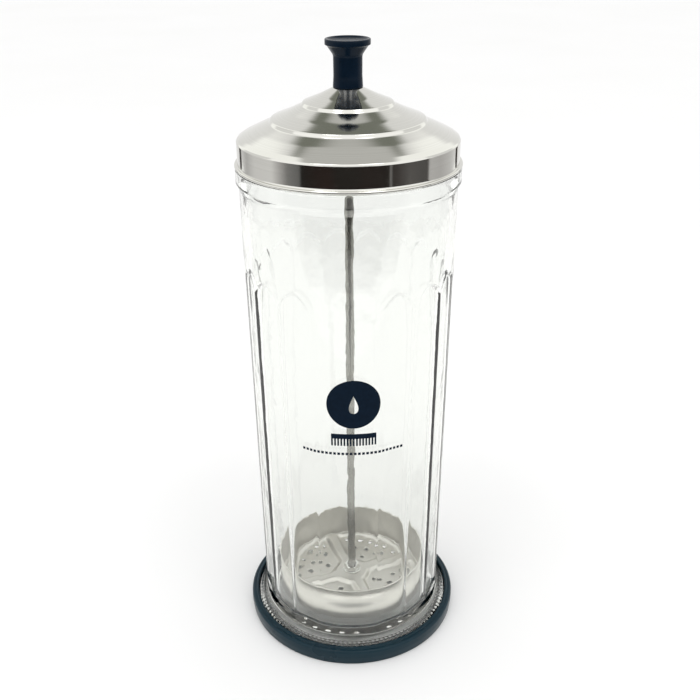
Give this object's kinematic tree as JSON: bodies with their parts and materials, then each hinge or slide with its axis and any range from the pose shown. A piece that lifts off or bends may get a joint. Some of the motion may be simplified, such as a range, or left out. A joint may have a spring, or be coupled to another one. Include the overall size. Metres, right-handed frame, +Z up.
{
  "type": "disinfectant jar",
  "caption": "Tall faceted glass jar in a rubber base ring, with a stepped steel lid whose knob lifts a perforated tray on a rod.",
  "frame": {"origin": "centre of the base ring's underside, on the surface that the jar stands on", "axes": "+Z up along the axis of the jar, -Y towards the front, where the printed mark is"},
  "size_m": [0.1092, 0.1092, 0.295],
  "materials": {
    "glass": "clear pressed glass, fire polished",
    "rubber": "moulded blue-black rubber, semi-gloss",
    "polished_steel": "spun stainless steel, polished with fine turning marks",
    "rod_steel": "drawn stainless steel rod",
    "tray_steel": "pressed stainless steel, satin",
    "hardware_steel": "bright turned stainless steel",
    "knob_plastic": "moulded blue-black plastic, glossy",
    "brass": "turned"
  },
  "bodies": {
    "jar": {"glass_jar": "glass", "base_ring": "rubber"},
    "lid": {"lid_shell": "polished_steel"},
    "insert": {"knob": "knob_plastic", "knob_insert": "brass", "lift_rod": "rod_steel", "lid_washer": "hardware_steel", "lid_nut": "hardware_steel", "tray_cup": "tray_steel", "tray_top_washer": "hardware_steel", "tray_top_nut": "hardware_steel", "tray_lower_washer": "hardware_steel", "tray_lower_nut": "hardware_steel"}
  },
  "joints": [
    {"name": "lid_lift", "type": "slide", "parent": "jar", "child": "lid", "axis": [0, 0, 1], "range_m": [0, 0.25]},
    {"name": "insert_spin", "type": "hinge", "parent": "lid", "child": "insert", "pos_m": [0, 0, 0.27], "axis": [0, 0, 1], "continuous": true}
  ]
}
